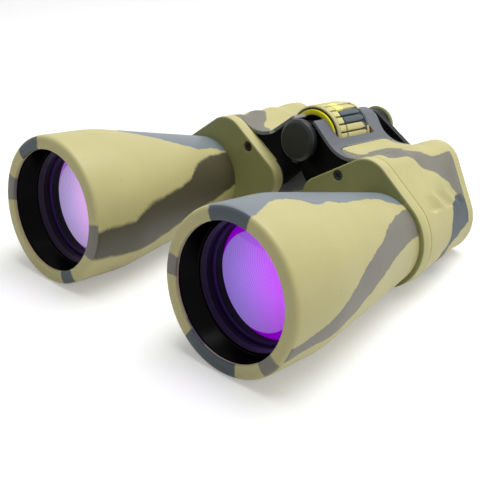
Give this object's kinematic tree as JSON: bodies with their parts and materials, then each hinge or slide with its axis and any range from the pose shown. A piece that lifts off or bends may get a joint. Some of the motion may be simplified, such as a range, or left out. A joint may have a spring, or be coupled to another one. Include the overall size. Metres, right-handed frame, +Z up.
{
  "type": "binoculars",
  "caption": "Centre-focus Porro-prism binoculars with flared objective barrels, a folding hinge with a ribbed focus wheel, camouflage armour and a tripod socket.",
  "frame": {"origin": "on the hinge axis, at the mouth of the tripod socket in the front hinge pin", "axes": "+Y along the optical axes, from the objectives to the eyepieces; +Z up, with the halves hanging below the hinge; +X towards the user's left half"},
  "size_m": [0.173, 0.1806, 0.0789],
  "materials": {
    "barrel_armour": "satin camouflage coat",
    "housing_armour": "satin camouflage rubber",
    "cover_plate": "olive satin coat",
    "black_metal": "black anodised",
    "screw_black": "black oxide",
    "saddle_grey": "grey satin coat",
    "housing_black": "black, moulded",
    "coated_glass": "violet anti-reflection coat",
    "clear_glass": "polished",
    "spring_steel": "spring steel",
    "hinge_steel": "black zinc plate",
    "wheel_core": "black, moulded",
    "wheel_tyre": "khaki rubber",
    "index_yellow": "yellow, moulded",
    "brass": "turned",
    "soft_rubber": "matt",
    "cap_black": "black with a satin bevel",
    "washer": "natural nylon"
  },
  "bodies": {
    "left_half": {"left_objective_barrel": "barrel_armour", "left_lens_cell": "black_metal", "left_lens_ring": "black_metal", "left_objective_crown": "coated_glass", "left_objective_flint": "clear_glass", "left_front_cover": "cover_plate", "left_rear_cover": "cover_plate", "left_cover_screws": "screw_black", "left_prism_housing": "housing_black", "left_armour": "housing_armour", "left_saddle": "saddle_grey", "left_prism_shelf": "black_metal", "left_front_prism": "clear_glass", "left_rear_prism": "clear_glass", "left_prism_straps": "spring_steel", "left_eyepiece_guide": "black_metal", "tripod_post": "hinge_steel", "hinge_washers": "washer", "hinge_sleeve": "hinge_steel"},
    "right_half": {"right_objective_barrel": "barrel_armour", "right_lens_cell": "black_metal", "right_lens_ring": "black_metal", "right_objective_crown": "coated_glass", "right_objective_flint": "clear_glass", "right_front_cover": "cover_plate", "right_rear_cover": "cover_plate", "right_cover_screws": "screw_black", "right_prism_housing": "housing_black", "right_armour": "housing_armour", "right_saddle": "saddle_grey", "right_prism_shelf": "black_metal", "right_front_prism": "clear_glass", "right_rear_prism": "clear_glass", "right_prism_straps": "spring_steel", "right_eyepiece_guide": "black_metal"},
    "focus_wheel": {"focus_wheel_core": "wheel_core", "focus_wheel_tyre": "wheel_tyre", "focus_index_ring": "index_yellow", "drive_screw": "brass"},
    "left_eyepiece": {"left_bridge_arm": "saddle_grey", "left_ocular_barrel": "black_metal", "left_field_lens": "clear_glass", "left_eye_lens": "clear_glass", "left_trim_ring": "soft_rubber", "left_eyecup": "soft_rubber", "bridge_tube": "hinge_steel", "bridge_end_cap": "cover_plate"},
    "right_eyepiece": {"right_bridge_arm": "saddle_grey"},
    "right_dioptre": {"right_dioptre_ring": "soft_rubber"},
    "right_ocular": {"right_ocular_barrel": "black_metal", "right_field_lens": "clear_glass", "right_eye_lens": "clear_glass", "right_eyecup": "soft_rubber"},
    "tripod_cap": {"tripod_cap": "cap_black"}
  },
  "joints": [
    {"name": "interpupillary_fold", "type": "hinge", "parent": "left_half", "child": "right_half", "pos_m": [0, 0, 0], "axis": [0, 1, 0], "range_deg": [-8, 42]},
    {"name": "focus_wheel_turn", "type": "hinge", "parent": "left_half", "child": "focus_wheel", "pos_m": [0, 0.02, 0], "axis": [0, 1, 0], "range_deg": [-52, 280]},
    {"name": "left_eyepiece_slide", "type": "slide", "parent": "left_half", "child": "left_eyepiece", "axis": [0, 1, 0], "range_m": [-0.00108, 0.00583]},
    {"name": "right_eyepiece_slide", "type": "slide", "parent": "right_half", "child": "right_eyepiece", "axis": [0, 1, 0], "range_m": [-0.00108, 0.00583]},
    {"name": "dioptre_turn", "type": "hinge", "parent": "right_eyepiece", "child": "right_dioptre", "pos_m": [-0.02745, 0.065, -0.0229], "axis": [0, 1, 0], "range_deg": [-60.01, 60.01]},
    {"name": "right_ocular_slide", "type": "slide", "parent": "right_eyepiece", "child": "right_ocular", "axis": [0, 1, 0], "range_m": [-0.0005, 0.0005]},
    {"name": "tripod_cap_pull", "type": "slide", "parent": "left_half", "child": "tripod_cap", "axis": [0, -1, 0], "range_m": [0, 0.06]}
  ],
  "couplings": [
    {"joint": "focus_wheel_turn", "follows": "left_eyepiece_slide", "rad_per_m": 837.76},
    {"joint": "right_eyepiece_slide", "follows": "left_eyepiece_slide", "ratio": 1},
    {"joint": "dioptre_turn", "follows": "right_ocular_slide", "rad_per_m": 2094.4}
  ]
}
